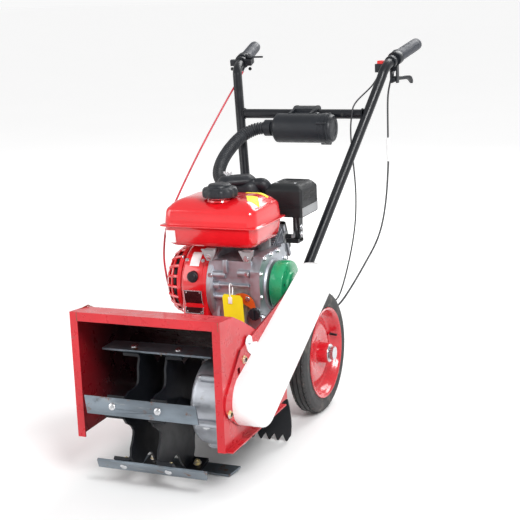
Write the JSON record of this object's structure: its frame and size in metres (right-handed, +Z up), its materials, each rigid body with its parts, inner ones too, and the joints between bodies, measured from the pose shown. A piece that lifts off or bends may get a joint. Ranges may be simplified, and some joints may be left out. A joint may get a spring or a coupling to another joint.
{
  "type": "walk-behind trencher",
  "caption": "Walk-behind trencher: hooded rotor of flat cutter bars driven by belt and gears from a small engine, on two wheels with handlebars.",
  "frame": {"origin": "centre of the overall box at ground level", "axes": "+X towards the belt cover side, -Y towards the rotor, +Y towards the operator, +Z up"},
  "size_m": [0.5138, 1.1754, 0.9006],
  "materials": {
    "hood_red": "satin paint",
    "black_steel": "satin black paint",
    "cast_aluminium": "cast, bead-blasted",
    "yellow_zinc": "yellow zinc plate",
    "bright_steel": "machined",
    "white_paint": "gloss paint",
    "belt_rubber": "matt",
    "head_black": "heat-resistant black",
    "tank_red": "gloss paint",
    "bracket_grey": "satin grey paint",
    "black_plastic": "moulded",
    "hose_rubber": "ribbed",
    "grip_rubber": "textured",
    "red_sheath": "smooth",
    "black_sheath": "smooth",
    "bar_steel": "mill scale with rust",
    "drum_green": "gloss paint",
    "tyre_rubber": "dusty",
    "rim_red": "gloss paint",
    "button_red": "smooth"
  },
  "bodies": {
    "chassis": {"hood_left_wall": "hood_red", "hood_right_wall": "hood_red", "hood_top": "hood_red", "rear_scraper": "black_steel", "gearbox_case": "cast_aluminium", "gearbox_cover": "cast_aluminium", "machine_bolts": "yellow_zinc", "gearbox_bearings": "bright_steel", "cover_back_plate": "hood_red", "belt_cover": "white_paint", "drive_belt": "belt_rubber", "chassis_frame": "hood_red", "wheel_axle": "bright_steel", "crankcase": "cast_aluminium", "crankcase_cover": "cast_aluminium", "cylinder_block": "cast_aluminium", "head_cover": "head_black", "spark_plug": "black_plastic", "fuel_tank": "tank_red", "tank_brackets": "bracket_grey", "fan_cover": "tank_red", "recoil_housing": "tank_red", "muffler": "head_black", "muffler_guard": "head_black", "carburettor": "cast_aluminium", "intake_elbow": "black_plastic", "intake_hose": "hose_rubber", "filter_canister": "black_plastic", "canister_lid": "black_plastic", "handlebar_tubes": "black_steel", "crossbar": "black_steel", "handle_grips": "grip_rubber", "throttle_clamp": "black_plastic", "clutch_bracket": "black_plastic", "switch_box": "black_plastic", "throttle_cable": "red_sheath", "clutch_cable": "black_sheath", "switch_wire": "black_sheath"},
    "rotor": {"rotor_carrier": "black_steel", "cutter_bars": "bar_steel", "rotor_bolts": "yellow_zinc", "output_shaft": "bright_steel"},
    "input": {"input_shaft": "bright_steel", "driven_pulley": "bright_steel"},
    "crank": {"crankshaft": "bright_steel", "drive_pulley": "bright_steel", "clutch_drum": "drum_green", "flywheel": "bright_steel"},
    "idler": {"idler_arm": "yellow_zinc"},
    "roller": {"idler_roller": "black_plastic"},
    "left_wheel": {"left_tyre": "tyre_rubber", "left_rim": "rim_red"},
    "right_wheel": {"right_tyre": "tyre_rubber", "right_rim": "rim_red"},
    "throttle_lever": {"throttle_lever": "black_plastic"},
    "clutch_lever": {"clutch_lever": "head_black"},
    "stop_button": {"stop_button": "button_red"},
    "fuel_cap": {"fuel_cap": "black_plastic"},
    "dipstick": {"dipstick": "black_plastic"},
    "starter_grip": {"starter_grip": "black_plastic"}
  },
  "joints": [
    {"name": "rotor_spin", "type": "hinge", "parent": "chassis", "child": "rotor", "pos_m": [0, -0.438, 0.1534], "axis": [1, 0, 0], "continuous": true},
    {"name": "input_spin", "type": "hinge", "parent": "chassis", "child": "input", "pos_m": [0.15, -0.46131, 0.20432], "axis": [1, 0, 0], "continuous": true},
    {"name": "crank_spin", "type": "hinge", "parent": "chassis", "child": "crank", "pos_m": [0, -0.1, 0.362], "axis": [1, 0, 0], "continuous": true},
    {"name": "left_wheel_spin", "type": "hinge", "parent": "chassis", "child": "left_wheel", "pos_m": [-0.121, 0.055, 0.151], "axis": [1, 0, 0], "continuous": true},
    {"name": "right_wheel_spin", "type": "hinge", "parent": "chassis", "child": "right_wheel", "pos_m": [0.121, 0.055, 0.151], "axis": [1, 0, 0], "continuous": true},
    {"name": "clutch_lever_pull", "type": "hinge", "parent": "chassis", "child": "clutch_lever", "pos_m": [0.216, 0.45, 0.8], "axis": [1, 0, 0], "range_deg": [0, 25], "stiffness_Nm_per_rad": 0.6, "springref_deg": -5.73},
    {"name": "idler_swing", "type": "hinge", "parent": "chassis", "child": "idler", "pos_m": [0.155, -0.333, 0.26032], "axis": [1, 0, 0], "range_deg": [0, 13]},
    {"name": "idler_roller_spin", "type": "hinge", "parent": "idler", "child": "roller", "pos_m": [0.171, -0.28086, 0.29198], "axis": [1, 0, 0], "continuous": true},
    {"name": "throttle_lever_turn", "type": "hinge", "parent": "chassis", "child": "throttle_lever", "pos_m": [-0.198, 0.441, 0.864], "axis": [0, 0, 1], "range_deg": [-50, 0]},
    {"name": "stop_button_press", "type": "slide", "parent": "chassis", "child": "stop_button", "axis": [0, 0, 1], "range_m": [-0.004, 0], "stiffness_N_per_m": 400},
    {"name": "fuel_cap_turn", "type": "hinge", "parent": "chassis", "child": "fuel_cap", "pos_m": [-0.033, -0.15, 0.573], "axis": [0, 0, 1], "range_deg": [0, 90]},
    {"name": "dipstick_turn", "type": "hinge", "parent": "chassis", "child": "dipstick", "pos_m": [0.062, -0.195, 0.312], "axis": [0, -1, 0], "range_deg": [0, 720]},
    {"name": "starter_pull", "type": "slide", "parent": "chassis", "child": "starter_grip", "axis": [0, 1, 0], "range_m": [0, 0.45], "stiffness_N_per_m": 20, "springref_m": -0.02}
  ],
  "couplings": [
    {"joint": "input_spin", "follows": "rotor_spin", "ratio": -3},
    {"joint": "crank_spin", "follows": "rotor_spin", "ratio": -4.2857},
    {"joint": "idler_swing", "follows": "clutch_lever_pull", "ratio": 0.52}
  ]
}
